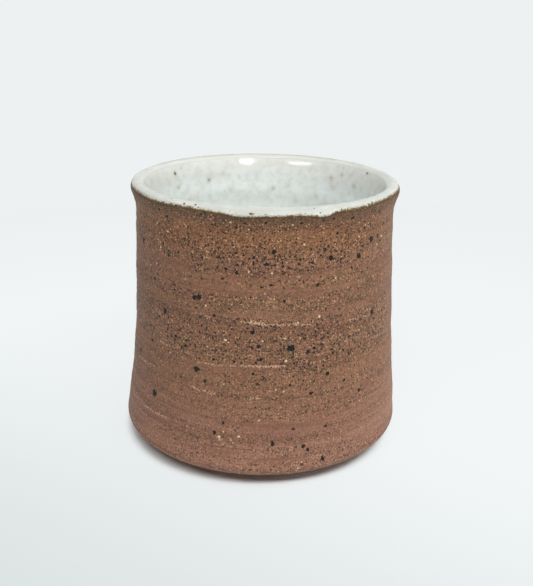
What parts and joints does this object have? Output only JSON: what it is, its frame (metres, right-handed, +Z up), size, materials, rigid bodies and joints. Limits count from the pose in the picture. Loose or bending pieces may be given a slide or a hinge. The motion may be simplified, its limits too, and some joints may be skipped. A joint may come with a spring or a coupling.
{
  "type": "coffee cup",
  "caption": "Handle-less stoneware coffee cup with a bare speckled clay wall, flared lip, turned foot and white glaze inside and over the rim.",
  "frame": {"origin": "on the table, under the middle of the cup", "axes": "+Z up along the axis that the cup was turned on; X and Y are free, because the cup is round"},
  "size_m": [0.0868, 0.0868, 0.0806],
  "materials": {
    "stoneware": "bare fired red-brown stoneware, coarse, with iron spots and throwing lines",
    "liner_glaze": "glossy cool white glaze with faint tan specks",
    "rim_glaze": "glossy white glaze with brown nicks and an uneven lower edge"
  },
  "bodies": {
    "root": {"stoneware_body": "stoneware", "liner_glaze": "liner_glaze", "rim_glaze": "rim_glaze"}
  },
  "joints": []
}
